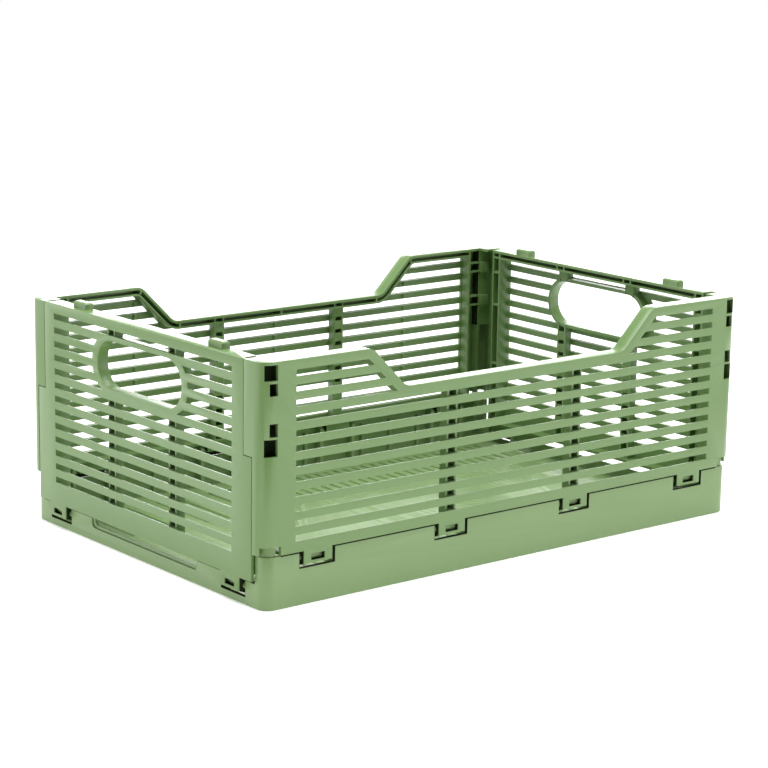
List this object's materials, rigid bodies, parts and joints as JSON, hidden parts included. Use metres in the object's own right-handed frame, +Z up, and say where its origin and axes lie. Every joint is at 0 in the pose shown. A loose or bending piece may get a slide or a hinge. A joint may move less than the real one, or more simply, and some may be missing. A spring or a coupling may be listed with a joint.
{
  "type": "collapsible storage crate",
  "caption": "Slatted folding crate: tray with long walls and corner columns, and two end walls with hand holes that fold flat inside.",
  "frame": {"origin": "centre of the bounding box's bottom, on the surface that the crate stands on", "axes": "+X along the crate's length, towards the right end wall; +Y from the front wall to the back wall; +Z up"},
  "size_m": [0.4056, 0.2668, 0.1582],
  "materials": {
    "wall_plastic": "satin sage green polypropylene",
    "tray_plastic": "satin sage green polypropylene, slightly darker"
  },
  "bodies": {
    "crate_body": {"base_tray": "tray_plastic", "front_wall": "wall_plastic", "back_wall": "wall_plastic"},
    "left_end": {"left_end_wall": "wall_plastic"},
    "right_end": {"right_end_wall": "wall_plastic"}
  },
  "joints": [
    {"name": "left_end_fold", "type": "hinge", "parent": "crate_body", "child": "left_end", "pos_m": [-0.198, 0, 0.0118], "axis": [0, 1, 0], "range_deg": [0, 90]},
    {"name": "right_end_fold", "type": "hinge", "parent": "crate_body", "child": "right_end", "pos_m": [0.198, 0, 0.0118], "axis": [0, -1, 0], "range_deg": [0, 90]}
  ]
}
